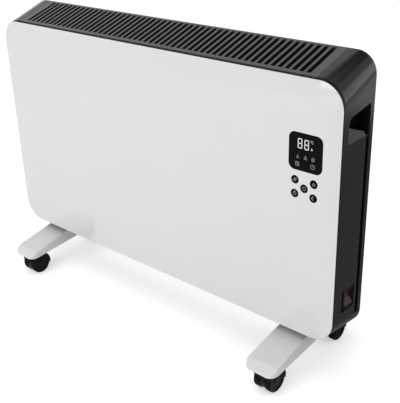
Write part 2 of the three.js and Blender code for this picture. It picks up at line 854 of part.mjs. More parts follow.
// Drawn about the swivel axis, on the floor. The wheels trail towards the front.
function castorHood() {
  const centre = [-castorTrail, wheelRadius];
  const side = castorWidth / 2;
  const reach = hoodRadius + cut;
  const low = wheelRadius - hoodLip;
  let hood = rod('x', hoodRadius, -side, side, centre, hoodSegments);
  hood = hood.subtract(rod('x', hoodRadius - hoodWall, -side - cut, side + cut, centre, hoodSegments));
  // open below a line that rises from the rear lip to the front
  const mouth = polygon([
    [centre[0] + reach, low],
    [centre[0] + hoodRadius - 2 * hoodWall, low],
    [centre[0] - hoodRadius / 4, wheelRadius + hoodRadius / 3],
    [centre[0] - reach, wheelRadius + hoodRadius / 2],
    [centre[0] - reach, -reach],
    [centre[0] + reach, -reach],
  ]);
  hood = hood.subtract(slabYZ(mouth, -side - cut, side + cut));
  // the web between the wheels carries the axle and the stem
  hood = hood.add(rod('x', wheelRadius - webShort, -webHalf, webHalf, centre, hoodSegments));
  const crown = rod('x', hoodRadius - hoodWall / 2, -webHalf, webHalf, centre, hoodSegments);
  hood = hood.add(crown.subtract(block(-side, side, -2 * reach, 2 * reach, -reach, wheelRadius + hoodRadius / 3)));
  hood = hood.add(rod('z', neckRadius, wheelRadius + hoodRadius - hoodWall, neckTop, [0, 0]));
  hood = hood.subtract(rod('z', stemRadius + fit, wheelRadius + stemFoot, neckTop + cut, [0, 0]));
  return hood.subtract(rod('x', axleRadius + fit, -webHalf - cut, webHalf + cut, centre));
}

function castorStem() {
  return turned('z', [
    [0, wheelRadius + stemFoot + fit],
    [stemRadius, wheelRadius + stemFoot + fit],
    [stemRadius, stemTop - stemChamfer],
    [stemRadius - stemChamfer, stemTop],
    [0, stemTop],
  ]);
}

function castorAxle() {
  const reach = castorWidth / 2 - axleInset;
  return rod('x', axleRadius, -reach, reach, [0, 0]);
}

// One wheel: crowned tread, dished outer face, blind hub bore from the inside.
function castorWheel(side) {
  const bore = axleRadius + fit;
  const reach = castorWidth / 2 - axleInset + fit;
  const inner = castorWidth / 2 - wheelWidth;
  const outer = castorWidth / 2;
  const profile = [
    [0, reach],
    [bore, reach],
    [bore, inner],
    [wheelRadius - treadRound, inner],
    [wheelRadius, inner + treadRound],
    [wheelRadius, outer - treadRound],
    [wheelRadius - treadRound, outer],
    [wheelRadius - rimWidth, outer],
    [wheelRadius - rimWidth - faceDish, outer - faceDish],
    [hubRadius + faceDish, outer - faceDish],
    [hubRadius, outer],
    [0, outer],
  ];
  const geometry = turned('x', profile, wheelSegments);
  return side > 0 ? geometry : geometry.rotateZ(Math.PI);
}

function castor(label, x, y) {
  const group = new THREE.Group();
  group.position.set(x, y, 0);
  group.add(piece(`castor_${label}_stem`, castorStem(), zincSteel));
  group.add(piece(`castor_${label}_hood`, castorHood(), castorPlastic));
  const wheels = new THREE.Group();
  wheels.position.set(0, -castorTrail, wheelRadius);
  wheels.add(piece(`castor_${label}_axle`, castorAxle(), zincSteel));
  wheels.add(piece(`castor_${label}_wheel_left`, castorWheel(-1), castorPlastic));
  wheels.add(piece(`castor_${label}_wheel_right`, castorWheel(1), castorPlastic));
  group.add(wheels);
  return group;
}

// ---------------------------------------------------------------- assembly

const heater = new THREE.Group();
const housing = new THREE.Group();
housing.position.set(0, -depth / 2, floorToGlass);
heater.add(housing);

housing.add(piece('front_glass', frontGlass(), whiteGlass));
housing.add(piece('display_window', displayWindow(), blackGloss));
keyPlaces.forEach((place, i) => {
  housing.add(piece(`touch_key_${i + 1}`, rod('y', keyRadius, 0, glassThickness, place, keySegments), blackGloss));
});
housing.add(piece('front_plate', frontPlate(), blackSteel));
housing.add(piece('control_board', controlBoard(), boardGreen));
housing.add(piece('display_module', displayModule(), blackGloss));
housing.add(piece('top_grille', topGrille(), blackPlastic));
housing.add(piece('bottom_grille', bottomGrille(), blackPlastic));
housing.add(piece('end_cap_right', endCap(true), blackPlastic));
housing.add(piece('end_cap_left', mirrored(endCap(false)), blackPlastic));
housing.add(piece('back_panel', backPanel(), blackSteel));
const gland = piece('cord_gland', cordGland(), blackPlastic);
gland.position.set(glandX, 0, glandZ);
housing.add(gland);
housing.add(piece('heat_baffle', heatBaffle(), aluminium));
housing.add(piece('heating_element', heatingElement(), aluminium));
housing.add(piece('element_bracket_left', elementBracket(-1), zincSteel));
housing.add(piece('element_bracket_right', elementBracket(1), zincSteel));
housing.add(piece('thermal_cutout', thermalCutout(), bakelite));
housing.add(piece('power_board', powerBoardBody(), boardGreen));
housing.add(piece('tilt_switch', tiltSwitchBody(), bakelite));
housing.add(piece('switch_body', switchBodyPiece(), blackPlastic));

const rockerGroup = new THREE.Group();
rockerGroup.position.set(rockerPivotX, switchY, switchZ);
rockerGroup.rotation.y = -rockerTilt;
rockerGroup.add(piece('switch_rocker', rocker(), rockerPlastic));
housing.add(rockerGroup);

let screwNumber = 0;
for (const side of [-1, 1]) {
  for (const z of [postLow, postHigh]) {
    screwNumber += 1;
    const screw = piece(
      `back_screw_${screwNumber}`,
      panScrew('y', screwRadius, screwHead, screwHeadHeight, screwLength),
      zincSteel,
    );
    screw.position.set(side * postX, depth - backInset + fit, z);
    housing.add(screw);
  }
}

for (const [label, side] of [['left', -1], ['right', 1]]) {
  const base = new THREE.Group();
  base.position.set(side * footX, 0, floorToGlass);
  base.add(piece(`foot_${label}`, foot(), whitePlastic));
  for (const [end, sign] of [['front', -1], ['rear', 1]]) {
    const screw = piece(`foot_screw_${label}_${end}`, footScrew(), zincSteel);
    screw.position.y = sign * footScrewY;
    base.add(screw);
    heater.add(castor(`${end}_${label}`, side * footX + castorOffsetX, sign * castorStemY));
  }
  heater.add(base);
}

export default heater;
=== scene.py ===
import json
import math
import bpy
import bmesh
from mathutils import Matrix, Vector

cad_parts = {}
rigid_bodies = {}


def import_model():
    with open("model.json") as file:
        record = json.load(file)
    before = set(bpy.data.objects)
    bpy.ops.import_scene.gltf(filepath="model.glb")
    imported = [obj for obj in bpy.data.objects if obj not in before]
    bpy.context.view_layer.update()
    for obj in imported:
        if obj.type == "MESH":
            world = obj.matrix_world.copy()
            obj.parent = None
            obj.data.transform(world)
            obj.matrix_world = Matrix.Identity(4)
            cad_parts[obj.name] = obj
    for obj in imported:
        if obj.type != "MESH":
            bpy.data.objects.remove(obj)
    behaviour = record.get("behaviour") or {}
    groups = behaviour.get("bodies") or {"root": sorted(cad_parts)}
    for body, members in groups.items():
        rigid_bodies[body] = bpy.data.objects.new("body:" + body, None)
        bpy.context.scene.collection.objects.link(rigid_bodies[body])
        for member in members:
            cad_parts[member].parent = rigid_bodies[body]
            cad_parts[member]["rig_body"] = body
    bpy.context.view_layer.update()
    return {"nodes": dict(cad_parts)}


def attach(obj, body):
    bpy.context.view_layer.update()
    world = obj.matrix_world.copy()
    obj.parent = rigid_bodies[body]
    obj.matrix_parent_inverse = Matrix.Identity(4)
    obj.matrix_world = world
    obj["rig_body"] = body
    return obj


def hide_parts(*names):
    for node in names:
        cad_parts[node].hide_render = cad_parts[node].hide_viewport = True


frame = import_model()
nodes = frame["nodes"]
scene = bpy.context.scene
scene.view_settings.view_transform = "Standard"
print("frame loaded:", len(nodes), "nodes")

# camera at the photograph's place: right of the front, above, long lens
cameraSetup = {
    "place": (0.92542, -0.92939, 0.82543),
    "right": (0.74937576, 0.66155946, -0.02783982),
    "up": (-0.26053436, 0.33324979, 0.90612716),
    "back": (0.6087346, -0.6717765, 0.42208828),
    "lens": 67.458,
    "sensor": 36,
    "near": 0.05,
    "far": 60,
}
camera = bpy.data.objects.new("camera", bpy.data.cameras.new("camera"))
scene.collection.objects.link(camera)
scene.camera = camera
camera.data.sensor_width = cameraSetup["sensor"]
camera.data.lens = cameraSetup["lens"]
camera.data.clip_start = cameraSetup["near"]
camera.data.clip_end = cameraSetup["far"]
axes = Matrix([cameraSetup[axis] for axis in ("right", "up", "back")]).transposed()
camera.matrix_world = Matrix.Translation(cameraSetup["place"]) @ axes.to_4x4()


# ---- effects that several finishes share

def newGroup(name, inputs, outputs):
    group = bpy.data.node_groups.new(name, "ShaderNodeTree")
    for label, kind, value in inputs:
        plug = group.interface.new_socket(name=label, in_out="INPUT", socket_type=kind)
        plug.default_value = value
    for label, kind in outputs:
        group.interface.new_socket(name=label, in_out="OUTPUT", socket_type=kind)
    return group, group.nodes.new("NodeGroupInput").outputs, group.nodes.new("NodeGroupOutput").inputs


def feed(tree, value, socket):
    # an output is linked, a plain value is set
    if isinstance(value, bpy.types.NodeSocket):
        tree.links.new(value, socket)
    else:
        socket.default_value = value


def noiseNode(tree, place, scale, detail, roughness=0.5):
    node = tree.nodes.new("ShaderNodeTexNoise")
    for name, value in (("Vector", place), ("Scale", scale), ("Detail", detail), ("Roughness", roughness)):
        feed(tree, value, node.inputs[name])
    return node.outputs["Fac"]


def mathNode(tree, operation, a, b, c=None, clamp=False):
    node = tree.nodes.new("ShaderNodeMath")
    node.operation = operation
    node.use_clamp = clamp
    for socket, value in zip(node.inputs, (a, b, c)):
        if value is not None:
            feed(tree, value, socket)
    return node.outputs[0]


def mixColour(tree, factor, a, b, blend="MIX"):
    node = tree.nodes.new("ShaderNodeMix")
    node.data_type = "RGBA"
    node.blend_type = blend
    for name, value in (("Factor_Float", factor), ("A_Color", a), ("B_Color", b)):
        feed(tree, value, next(s for s in node.inputs if s.identifier == name))
    return next(s for s in node.outputs if s.identifier == "Result_Color")


def greyColour(tree, value):
    node = tree.nodes.new("ShaderNodeCombineColor")
    for socket in node.inputs:
        tree.links.new(value, socket)
    return node.outputs[0]


def objectPlace(tree):
    return tree.nodes.new("ShaderNodeTexCoord").outputs["Object"]


def stretched(tree, place, scale, tilt=0.0):
    node = tree.nodes.new("ShaderNodeMapping")
    node.inputs["Scale"].default_value = scale
    node.inputs["Rotation"].default_value = (0, tilt, 0)
    tree.links.new(place, node.inputs["Vector"])
    return node.outputs[0]


skin = {"grainDetail": 3, "flowScale": 14.0, "flowDetail": 4, "smearScale": 60.0, "smearDetail": 3,
        "smearRough": 0.6, "shadeSpread": 0.16, "shadeLow": 0.92, "dust": (0.55, 0.53, 0.5, 1)}
gloss = {"streakStretch": (3.0, 1.0, 22.0), "streakTilt": 0.5, "streakScale": 4.0, "streakDetail": 5,
         "streakRough": 0.6, "smudgeScale": 9.0, "smudgeDetail": 3, "cloudSpread": 0.03, "cloudLow": 0.985}
sheet = {"lineStretch": (6.0, 300.0, 300.0), "lineScale": 5.0, "lineDetail": 4, "blotchScale": 45.0,
         "blotchDetail": 4, "roughSpread": 0.2, "dull": (0.8, 0.8, 0.82, 1), "clear": (1, 1, 1, 1),
         "bump": (0.1, 0.0002)}


def makeMouldedSkin():
    # moulded plastic: a fine spark texture, faint flow marks and a little dust on what faces up
    group, given, put = newGroup(
        "mouldedSkin",
        [
            ("Color", "NodeSocketColor", (0.1, 0.1, 0.1, 1)),
            ("Grain Scale", "NodeSocketFloat", 1800.0),
            ("Dust", "NodeSocketFloat", 0.05),
            ("Roughness", "NodeSocketFloat", 0.4),
            ("Roughness Spread", "NodeSocketFloat", 0.1),
        ],
        [("Color", "NodeSocketColor"), ("Roughness", "NodeSocketFloat"), ("Height", "NodeSocketFloat")],
    )
    place = objectPlace(group)
    grain = noiseNode(group, place, given["Grain Scale"], skin["grainDetail"])
    flow = noiseNode(group, place, skin["flowScale"], skin["flowDetail"])
    smear = noiseNode(group, place, skin["smearScale"], skin["smearDetail"], skin["smearRough"])
    shade = greyColour(group, mathNode(group, "MULTIPLY_ADD", flow, skin["shadeSpread"], skin["shadeLow"]))
    tone = mixColour(group, 1.0, given["Color"], shade, "MULTIPLY")
    facing = group.nodes.new("ShaderNodeSeparateXYZ")
    group.links.new(group.nodes.new("ShaderNodeNewGeometry").outputs["Normal"], facing.inputs[0])
    up = mathNode(group, "MULTIPLY", facing.outputs["Z"], given["Dust"], clamp=True)
    film = mathNode(group, "MULTIPLY", up, smear, clamp=True)
    group.links.new(mixColour(group, film, tone, skin["dust"]), put["Color"])
    rough = mathNode(group, "MULTIPLY_ADD", smear, given["Roughness Spread"], given["Roughness"])
    group.links.new(rough, put["Roughness"])
    group.links.new(grain, put["Height"])
    return group


def makeHandledGloss():
    # glass and gloss plates: wiping streaks and a few soft smudges in the roughness
    group, given, put = newGroup(
        "handledGloss",
        [
            ("Color", "NodeSocketColor", (0.8, 0.8, 0.8, 1)),
            ("Roughness", "NodeSocketFloat", 0.05),
            ("Smudge", "NodeSocketFloat", 0.06),
        ],
        [("Color", "NodeSocketColor"), ("Roughness", "NodeSocketFloat")],
    )
    place = objectPlace(group)
    wiped = stretched(group, place, gloss["streakStretch"], gloss["streakTilt"])
    streak = noiseNode(group, wiped, gloss["streakScale"], gloss["streakDetail"], gloss["streakRough"])
    smudge = noiseNode(group, place, gloss["smudgeScale"], gloss["smudgeDetail"])
    both = mathNode(group, "MULTIPLY", streak, smudge)
    rough = mathNode(group, "MULTIPLY_ADD", both, given["Smudge"], given["Roughness"])
    group.links.new(rough, put["Roughness"])
    shade = mathNode(group, "MULTIPLY_ADD", smudge, gloss["cloudSpread"], gloss["cloudLow"])
    cloud = greyColour(group, shade)
    group.links.new(mixColour(group, 1.0, given["Color"], cloud, "MULTIPLY"), put["Color"])
    return group


def makeRolledMetal():
    # rolled or plated sheet: long fine lines and blotches
    group, given, put = newGroup(
        "rolledMetal",
        [
            ("Color", "NodeSocketColor", (0.6, 0.6, 0.6, 1)),
            ("Roughness", "NodeSocketFloat", 0.35),
        ],
        [("Color", "NodeSocketColor"), ("Roughness", "NodeSocketFloat"), ("Height", "NodeSocketFloat")],
    )
    place = objectPlace(group)
    drawn = stretched(group, place, sheet["lineStretch"])
    lines = noiseNode(group, drawn, sheet["lineScale"], sheet["lineDetail"])
    blotch = noiseNode(group, place, sheet["blotchScale"], sheet["blotchDetail"])
    rough = mathNode(group, "MULTIPLY_ADD", blotch, sheet["roughSpread"], given["Roughness"])
    group.links.new(rough, put["Roughness"])
    dull = mixColour(group, blotch, sheet["dull"], sheet["clear"])
    group.links.new(mixColour(group, 1.0, given["Color"], dull, "MULTIPLY"), put["Color"])
    group.links.new(lines, put["Height"])
    return group


mouldedSkin = makeMouldedSkin()
handledGloss = makeHandledGloss()
rolledMetal = makeRolledMetal()


# ---- finishes

def newFinish(name, group, values, bump=None, metallic=0.0, specular=0.5):
    # bump is its strength and its distance
    material = bpy.data.materials.new(name)
    material.use_nodes = True
    tree = material.node_tree
    shader = tree.nodes["Principled BSDF"]
    shader.inputs["Metallic"].default_value = metallic
    shader.inputs["Specular IOR Level"].default_value = specular
    effect = tree.nodes.new("ShaderNodeGroup")
    effect.node_tree = group
    for label, value in values.items():
        effect.inputs[label].default_value = value
    tree.links.new(effect.outputs["Color"], shader.inputs["Base Color"])
    tree.links.new(effect.outputs["Roughness"], shader.inputs["Roughness"])
    if bump:
        relief = tree.nodes.new("ShaderNodeBump")
        relief.inputs["Strength"].default_value, relief.inputs["Distance"].default_value = bump
        tree.links.new(effect.outputs["Height"], relief.inputs["Height"])
        tree.links.new(relief.outputs["Normal"], shader.inputs["Normal"])
    return material


def moulded(name, colour, roughness, spread=0.12, grain=1800.0, dust=0.05, bump=(0.12, 0.0002),
            specular=0.5):
    values = {"Color": (*colour, 1), "Grain Scale": grain, "Dust": dust,
              "Roughness": roughness, "Roughness Spread": spread}
    return newFinish(name, mouldedSkin, values, bump, specular=specular)


def glossed(name, colour, roughness, smudge, specular=0.5):
    values = {"Color": (*colour, 1), "Roughness": roughness, "Smudge": smudge}
    return newFinish(name, handledGloss, values, specular=specular)


def rolled(name, colour, roughness):
    values = {"Color": (*colour, 1), "Roughness": roughness}
    return newFinish(name, rolledMetal, values, sheet["bump"], metallic=1.0)


litFilm = {"share": 0.3, "roughness": 0.2, "smudge": 0.1}


def lit(name, colour, strength):
    # display segments: a pale film that glows a little
    material = glossed(name, [c * litFilm["share"] for c in colour], litFilm["roughness"], litFilm["smudge"])
    shader = material.node_tree.nodes["Principled BSDF"]
    shader.inputs["Emission Color"].default_value = (*colour, 1)
    shader.inputs["Emission Strength"].default_value = strength
    return material


# each by its name, colour and roughness, and a gloss also by its smudges
whiteGlass = glossed("whiteGlass", (0.715, 0.715, 0.715), 0.05, 0.08)
glassEdge = glossed("glassEdge", (0.005, 0.0055, 0.0055), 0.08, 0.05, specular=0.12)
displayGlass = glossed("displayGlass", (0.0015, 0.0015, 0.0018), 0.06, 0.1, specular=0.05)
keyInk = glossed("keyInk", (0.0015, 0.0015, 0.0017), 0.1, 0.1, specular=0.03)
capPlastic = moulded("capPlastic", (0.009, 0.009, 0.0094), 0.16, spread=0.06, dust=0.005,
                     bump=(0.05, 0.0001), specular=0.3)
grillePlastic = moulded("grillePlastic", (0.020, 0.020, 0.021), 0.26)
railPlastic = moulded("railPlastic", (0.016, 0.016, 0.016), 0.4)
footPlastic = moulded("footPlastic", (0.69, 0.69, 0.695), 0.3, dust=0.03, grain=1400.0)
castorPlastic = moulded("castorPlastic", (0.003, 0.003, 0.0031), 0.24, dust=0.0, specular=0.08)
treadRubber = moulded("treadRubber", (0.0035, 0.0035, 0.0035), 0.5, dust=0.0, grain=900.0,
                      bump=(0.3, 0.0003), specular=0.05)
switchPlastic = moulded("switchPlastic", (0.008, 0.008, 0.008), 0.3, specular=0.2)
rockerPlastic = moulded("rockerPlastic", (0.055, 0.009, 0.011), 0.25, dust=0.0, specular=0.28)
blackSteel = moulded("blackSteel", (0.013, 0.013, 0.0135), 0.45, grain=700.0, bump=(0.25, 0.0003))
brightSheet = rolled("brightSheet", (0.62, 0.63, 0.64), 0.3)
zincSteel = rolled("zincSteel", (0.52, 0.53, 0.55), 0.32)
boardGreen = moulded("boardGreen", (0.012, 0.085, 0.035), 0.35, dust=0.0)
bakelite = moulded("bakelite", (0.03, 0.014, 0.009), 0.4, dust=0.0)
litDigits = lit("litDigits", (0.86, 0.88, 0.9), 0.56)
litUnits = lit("litUnits", (0.85, 0.87, 0.88), 0.36)
litIcons = lit("litIcons", (0.8, 0.82, 0.84), 0.2)
keySigns = glossed("keySigns", (0.26, 0.26, 0.265), 0.15, 0.1)
print("finishes made")


# ---- shape helpers

def newItem(name, bm, finishes):
    mesh = bpy.data.meshes.new(name)
    bm.to_mesh(mesh)
    bm.free()
    for material in finishes:
        mesh.materials.append(material)
    item = bpy.data.objects.new(name, mesh)
    scene.collection.objects.link(item)
    return item


def keepPiece(name, bm, body, finishes, replaced=(), smooth=35):
    # a piece of the heater, on its body, in place of the CAD nodes it stands for
    item = newItem(name, bm, finishes)
    if smooth:
        item.data.shade_smooth()
        item.data.set_sharp_from_angle(angle=math.radians(smooth))
    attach(item, body)
    if replaced:
        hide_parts(*replaced)
    return item


def rectangle(bm, width, height):
    # one face in the XY plane
    verts = bmesh.ops.create_grid(bm, x_segments=1, y_segments=1, size=0.5)["verts"]
    bmesh.ops.scale(bm, vec=(width, height, 1), verts=verts)
    return verts


def rounded(bm, parts, radius, segments, affect):
    bmesh.ops.bevel(bm, geom=parts, offset=radius, offset_type="OFFSET", segments=segments, profile=0.5,
                    affect=affect, material=-1)


def roundedFace(bm, width, height, radius, segments):
    rounded(bm, rectangle(bm, width, height), radius, segments, "VERTICES")


def cylinder(bm, radius, depth, segments):
    return bmesh.ops.create_cone(bm, cap_ends=True, segments=segments, radius1=radius, radius2=radius,
                                 depth=depth)["verts"]


def thicken(bm, depth):
    # the flat faces become solids that go down by the depth
    out = bmesh.ops.extrude_face_region(bm, geom=bm.faces[:])
    verts = [v for v in out["geom"] if isinstance(v, bmesh.types.BMVert)]
    bmesh.ops.translate(bm, vec=(0, 0, -depth), verts=verts)
    bmesh.ops.recalc_face_normals(bm, faces=bm.faces[:])


edgeLook = {"join": 0.000004, "flat": 1, "width": 0.0004, "segments": 2, "angle": 30}


def dressed(node, material):
    # the solid again, with its faces joined and its edges rounded
    bm = bmesh.new()
    bm.from_mesh(nodes[node].data)
    bmesh.ops.remove_doubles(bm, verts=bm.verts, dist=edgeLook["join"])
    bmesh.ops.dissolve_limit(bm, angle_limit=math.radians(edgeLook["flat"]), verts=bm.verts, edges=bm.edges)
    body = nodes[node]["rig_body"]
    item = keepPiece(node + "_dressed", bm, body, [material], [node], edgeLook["angle"])
    rounding = item.modifiers.new("roundedEdges", "BEVEL")
    rounding.width = edgeLook["width"]
    rounding.segments = edgeLook["segments"]
    rounding.limit_method = "ANGLE"
    rounding.angle_limit = math.radians(edgeLook["angle"])
    rounding.use_clamp_overlap = True
    shading = item.modifiers.new("evenShading", "WEIGHTED_NORMAL")
    shading.keep_sharp = True


# ---- front

frontGlass = {"width": 0.8, "height": 0.438, "radius": 0.042, "segments": 24, "thickness": 0.004,
              "low": 0.0878, "face": -0.0432, "polish": 0.0006, "polishSteps": 3, "rimAngle": 57,
              "edgeNormal": 0.5, "seam": 0.00005}
window = {"size": 0.061, "radius": 0.011, "segments": 10, "x": 0.338, "z": 0.3225}
keys = {"radius": 0.007, "segments": 40, "x": 0.3374, "z": 0.2639, "stepX": 0.0171, "stepZ": 0.0116}
keyPlaces = [(keys["x"] + i * keys["stepX"], keys["z"] + k * keys["stepZ"])
             for i, k in ((-1, 1), (1, 1), (0, 0), (-1, -1), (1, -1))]
toFront = Matrix.Rotation(math.radians(90), 4, "X")


def standUp(bm, x, z):
    # from the XY plane to the glass, with z above its lower edge
    bmesh.ops.rotate(bm, cent=(0, 0, 0), matrix=toFront, verts=bm.verts)
    bmesh.ops.translate(bm, vec=(x, frontGlass["face"], frontGlass["low"] + z), verts=bm.verts)


def inPlan(v):
    # rounded, so that a corner and its copy behind it compare equal
    return round(v.co.x, 6), round(v.co.y, 6)


def makeFrontGlass():
    # one pane with openings in which the display and the keys sit flush
    bm = bmesh.new()
    middle = frontGlass["height"] / 2
    seam = frontGlass["seam"]
    roundedFace(bm, frontGlass["width"], frontGlass["height"], frontGlass["radius"], frontGlass["segments"])
    outer = set(bm.verts)
    outline = {inPlan(v) for v in outer}
    opening = window["size"] + 2 * seam
    roundedFace(bm, opening, opening, window["radius"] + seam, window["segments"])
    bmesh.ops.translate(bm, vec=(window["x"], window["z"] - middle, 0),
                        verts=[v for v in bm.verts if v not in outer])
    for x, z in keyPlaces:
        ring = bmesh.ops.create_circle(bm, cap_ends=False, segments=keys["segments"],
                                       radius=keys["radius"] + seam)
        bmesh.ops.translate(bm, vec=(x, z - middle, 0), verts=ring["verts"])
    bmesh.ops.delete(bm, geom=bm.faces[:], context="FACES_ONLY")
    bmesh.ops.triangle_fill(bm, use_beauty=True, use_dissolve=False, edges=bm.edges[:], normal=(0, 0, 1))
    thicken(bm, frontGlass["thickness"])
    for face in bm.faces:
        if abs(face.normal.z) < frontGlass["edgeNormal"]:
            face.material_index = 1
    rim = [e for e in bm.edges if e.calc_face_angle(0) > math.radians(frontGlass["rimAngle"])
           and e.verts[0].co.z == e.verts[1].co.z and all(inPlan(v) in outline for v in e.verts)]
    rounded(bm, rim, frontGlass["polish"], frontGlass["polishSteps"], "EDGES")
    standUp(bm, 0, middle)
    keepPiece("white_glass_pane", bm, "heater", [whiteGlass, glassEdge], ["front_glass"])


def makeInlay(name, bm, place, material, node):
    thicken(bm, frontGlass["thickness"])
    standUp(bm, *place)
    keepPiece(name, bm, "heater", [material], [node])


def makeDisplay():
    bm = bmesh.new()
    roundedFace(bm, window["size"], window["size"], window["radius"], window["segments"])
    makeInlay("display_pane", bm, (window["x"], window["z"]), displayGlass, "display_window")


def makeKeys():
    for i, place in enumerate(keyPlaces, 1):
        bm = bmesh.new()
        bmesh.ops.create_circle(bm, cap_ends=True, segments=keys["segments"], radius=keys["radius"])
        makeInlay(f"key_print_{i}", bm, place, keyInk, f"touch_key_{i}")


makeFrontGlass()
makeDisplay()
makeKeys()
print("front made")


# ---- marks on the display and keys, as thin prints on the glass

printing = {"proud": 0.00003, "thick": 0.00002, "join": 0.0000005, "ringSteps": 24, "arcSteps": 14}
# an eight of seven bars: its size, then shares of the stroke, and the turn of its corners
eight = {"width": 0.0080, "height": 0.0162, "stroke": 0.0016, "barTrim": 1.9, "sideTrim": 0.35,
         "corner": 0.62, "cornerIn": 0.72, "cornerUp": 0.06, "cornerTurn": 45}
eightPlaces = ((0.3277, 0.3358), (0.3396, 0.3355))
mm = 0.001


def linkedVerts(seed):
    found, waiting = {seed}, [seed]
    while waiting:
        for edge in waiting.pop().link_edges:
            for v in edge.verts:
                if v not in found:
                    found.add(v)
                    waiting.append(v)
    return list(found)


def strokeBar(bm, x, z, width, height, lean=0.0):
    verts = rectangle(bm, width, height)
    bmesh.ops.rotate(bm, cent=(0, 0, 0), matrix=Matrix.Rotation(math.radians(lean), 3, "Z"), verts=verts)
    bmesh.ops.translate(bm, vec=(x, z, 0), verts=verts)


def strokeArc(bm, x, z, radius, width, start=0.0, sweep=360.0, tall=1.0):
    # a short edge across the stroke, spun round the middle of the arc
    turned = Matrix.Rotation(math.radians(start), 3, "Z")
    ends = [bm.verts.new(turned @ Vector((radius + side * width / 2, 0, 0))) for side in (-1, 1)]
    full = sweep >= 360
    bmesh.ops.spin(bm, geom=[*ends, bm.edges.new(ends)], cent=(0, 0, 0), axis=(0, 0, 1),
                   angle=math.radians(sweep), steps=printing["ringSteps" if full else "arcSteps"],
                   use_merge=full, use_duplicate=False)
    verts = linkedVerts(ends[0])
    bmesh.ops.scale(bm, vec=(1, tall, 1), verts=verts)
    bmesh.ops.translate(bm, vec=(x, z, 0), verts=verts)


def drawEight(bm, x, z):
    # seven bars, and a small turned square where the bars of a side meet
    width, stroke, corner = eight["width"], eight["stroke"], eight["stroke"] * eight["corner"]
    reach = (eight["height"] - stroke) / 2
    cornerX = width / 2 - stroke * eight["cornerIn"]
    cornerZ = reach / 2 - stroke * eight["cornerUp"]
    for level in (-1, 0, 1):
        strokeBar(bm, x, z + level * reach, width - eight["barTrim"] * stroke, stroke)
    for side in (-1, 1):
        for level in (-1, 1):
            middle = z + level * reach / 2
            strokeBar(bm, x + side * (width - stroke) / 2, middle, stroke, reach - eight["sideTrim"] * stroke)
            for up in (-1, 1):
                cornerPlace = (x + side * cornerX, middle + up * cornerZ)
                strokeBar(bm, *cornerPlace, corner, corner, eight["cornerTurn"])


def waves(count, pitch, high, side, rise, radius, stroke):
    # rows of arcs: a wave is two arcs that bend opposite ways
    rows = []
    for i in range(count):
        at = (i - (count - 1) / 2) * pitch
        rows.append((at - side, high + rise, radius, stroke, -60, 120))
        rows.append((at + side, high - rise, radius, stroke, 120, 120))
    return rows


# signs in mm from their middle: a bar is x, z, width, height and lean,
# and an arc is x, z, radius, stroke, start, sweep and stretch upward
heatBase = [(0, -1.4, 5.8, 0.5), *[(x, -2.6, 0.5, 1.2, -20) for x in (-1.9, 0, 1.9)]]
signs = {
    "degree": {"arcs": [(0, 0, 0.8, 0.4)]},
    "celsius": {"arcs": [(0, 0, 1.4, 0.6, 45, 270, 1.25)]},
    "drop": {"arcs": [(0, 0, 0.8, 1.6, 120, 300)], "bars": [(-0.2, 1.6, 0.7, 2.2, 12)]},
    "calendar": {"bars": [(-3.1, 0, 0.5, 6.2), (3.1, 0, 0.5, 6.2), (0, -2.9, 6.2, 0.5), (0, 2.9, 6.2, 0.5),
                          (-1.3, 3.6, 0.4, 1.2), (1.3, 3.6, 0.4, 1.2), (0, 1.3, 5.6, 0.4),
                          (0.2, -0.8, 1.8, 1.2)]},
    "clock": {"arcs": [(0, 0, 3.6, 0.5)], "bars": [(0, 1.08, 0.5, 2.34), (0.792, -0.36, 1.8, 0.5, -25)]},
    "heat": {"arcs": waves(3, 1.9, 0, 0.6, 1.4, 1.6, 0.8)},
    "raise": {"bars": [(-1.2, 0.6, 0.9, 4.2, -38), (1.2, 0.6, 0.9, 4.2, 38), (0, -2.0, 5.6, 1.0)]},
    "standby": {"arcs": [(0, 0, 3.0, 0.9, 125, 290)], "bars": [(0, 2.4, 0.9, 3.0)]},
    "timer": {"arcs": [(0, -0.2, 2.7, 0.8)], "bars": [(0, 3.6, 3.0, 0.9), (0, 0.6, 0.7, 2.0)]},
    "night": {"arcs": [(-0.3, 0, 2.6, 1.2, 70, 220), (0.6, 0, 2.1, 0.5, 90, 180)]},
}
for count, sign in enumerate(("heatLow", "heatMiddle", "heatHigh"), 1):
    signs[sign] = {"arcs": waves(count, 2.0, 1.35, 0.5, 0.85, 1.0, 0.5), "bars": heatBase}
unitPlaces = {"degree": (0.3467, 0.3432), "celsius": (0.3497, 0.3413), "drop": (0.3489, 0.3298)}
iconPlaces = {"heatLow": (0.3242, 0.3146), "heatMiddle": (0.3380, 0.3146), "heatHigh": (0.3517, 0.3146),
              "calendar": (0.3236, 0.3021), "clock": (0.3513, 0.3029)}
keySignPlaces = dict(zip(("heat", "raise", "standby", "timer", "night"), keyPlaces))


def drawSigns(bm, places):
    for sign, (x, z) in places.items():
        for dx, dz, radius, stroke, *bend in signs[sign].get("arcs", ()):
            strokeArc(bm, x + dx * mm, z + dz * mm, radius * mm, stroke * mm, *bend)
        for dx, dz, width, height, *lean in signs[sign].get("bars", ()):
            strokeBar(bm, x + dx * mm, z + dz * mm, width * mm, height * mm, *lean)


def makePrint(name, bm, material):
    bmesh.ops.remove_doubles(bm, verts=bm.verts, dist=printing["join"])
    bmesh.ops.translate(bm, vec=(0, 0, printing["proud"]), verts=bm.verts)
    thicken(bm, printing["thick"])
    standUp(bm, 0, 0)
    keepPiece(name, bm, "heater", [material], smooth=0)


def makeDigits():
    bm = bmesh.new()
    for x, z in eightPlaces:
        drawEight(bm, x, z)
    makePrint("display_digits", bm, litDigits)


def makeSigns(name, places, material):
    bm = bmesh.new()
    drawSigns(bm, places)
    makePrint(name, bm, material)


